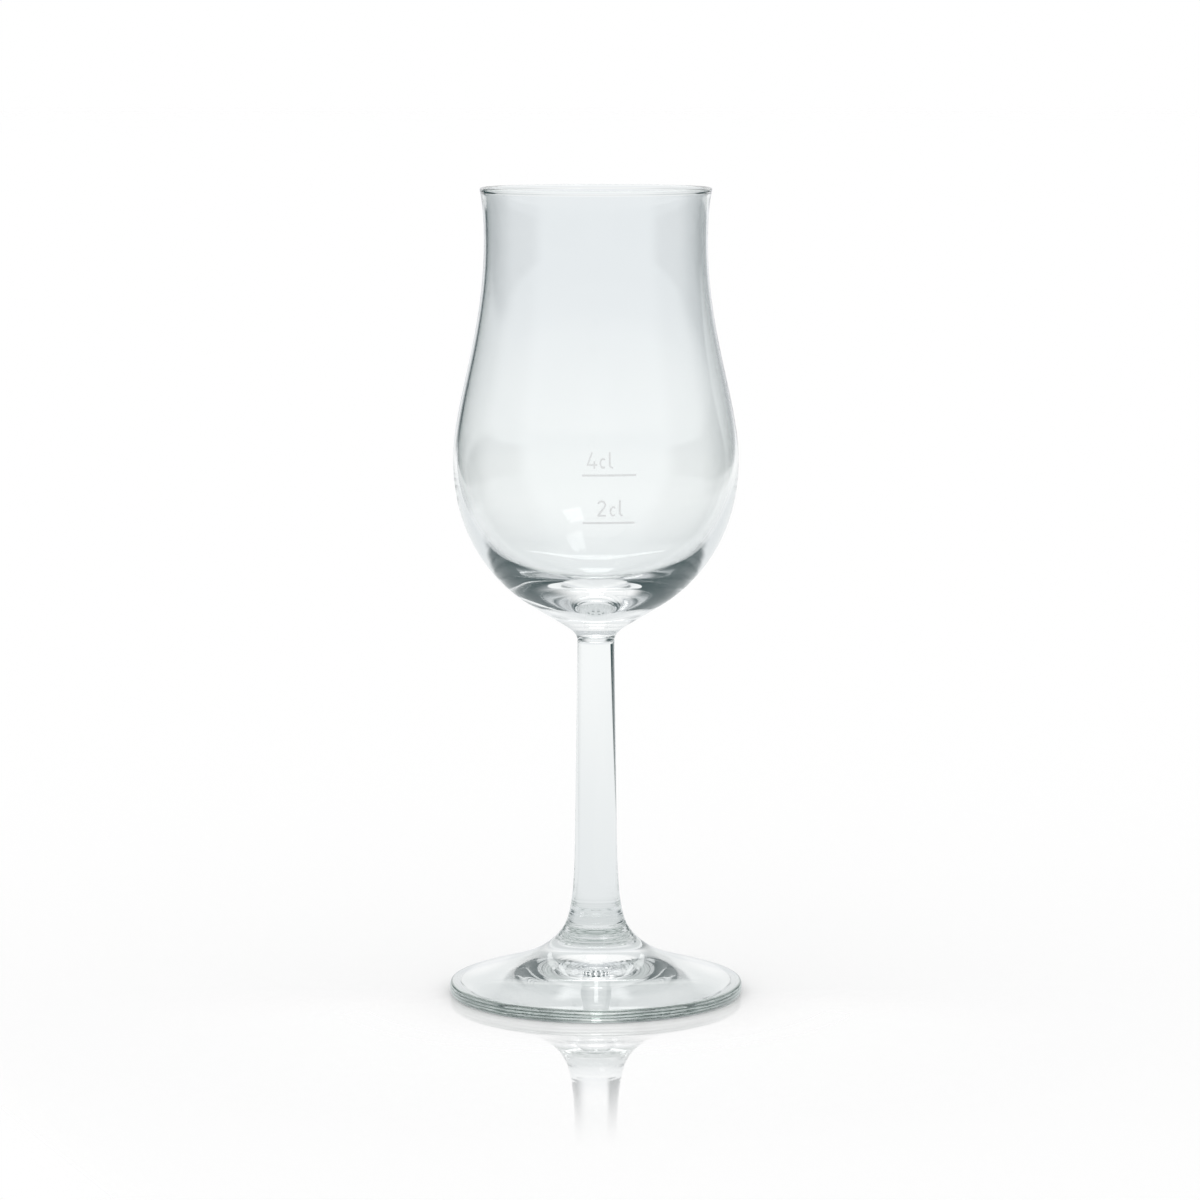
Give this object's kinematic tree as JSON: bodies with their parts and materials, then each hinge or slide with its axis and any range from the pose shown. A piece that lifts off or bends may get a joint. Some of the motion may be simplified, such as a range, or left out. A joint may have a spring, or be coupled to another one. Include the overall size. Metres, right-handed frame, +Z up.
{
  "type": "nosing glass",
  "caption": "Clear stemmed nosing glass for spirits: tulip bowl with a thick base, tapered solid stem, round pressed foot, and enamel fill lines on the bowl.",
  "frame": {"origin": "on the table plane, where the glass's axis meets it", "axes": "+Z up along the glass's axis, -Y towards the viewer and the fill marks, +X to the viewer's right"},
  "size_m": [0.0578, 0.0578, 0.159],
  "materials": {
    "foot_glass": "fire-polished clear glass",
    "stem_glass": "fire-polished clear glass",
    "bowl_glass": "fire-polished clear glass",
    "enamel": "satin fired enamel"
  },
  "bodies": {
    "root": {"foot": "foot_glass", "stem": "stem_glass", "bowl": "bowl_glass", "fill_line_4cl": "enamel", "figure_4": "enamel", "letter_c_upper": "enamel", "letter_l_upper": "enamel", "fill_line_2cl": "enamel", "figure_2": "enamel", "letter_c_lower": "enamel", "letter_l_lower": "enamel"}
  },
  "joints": []
}
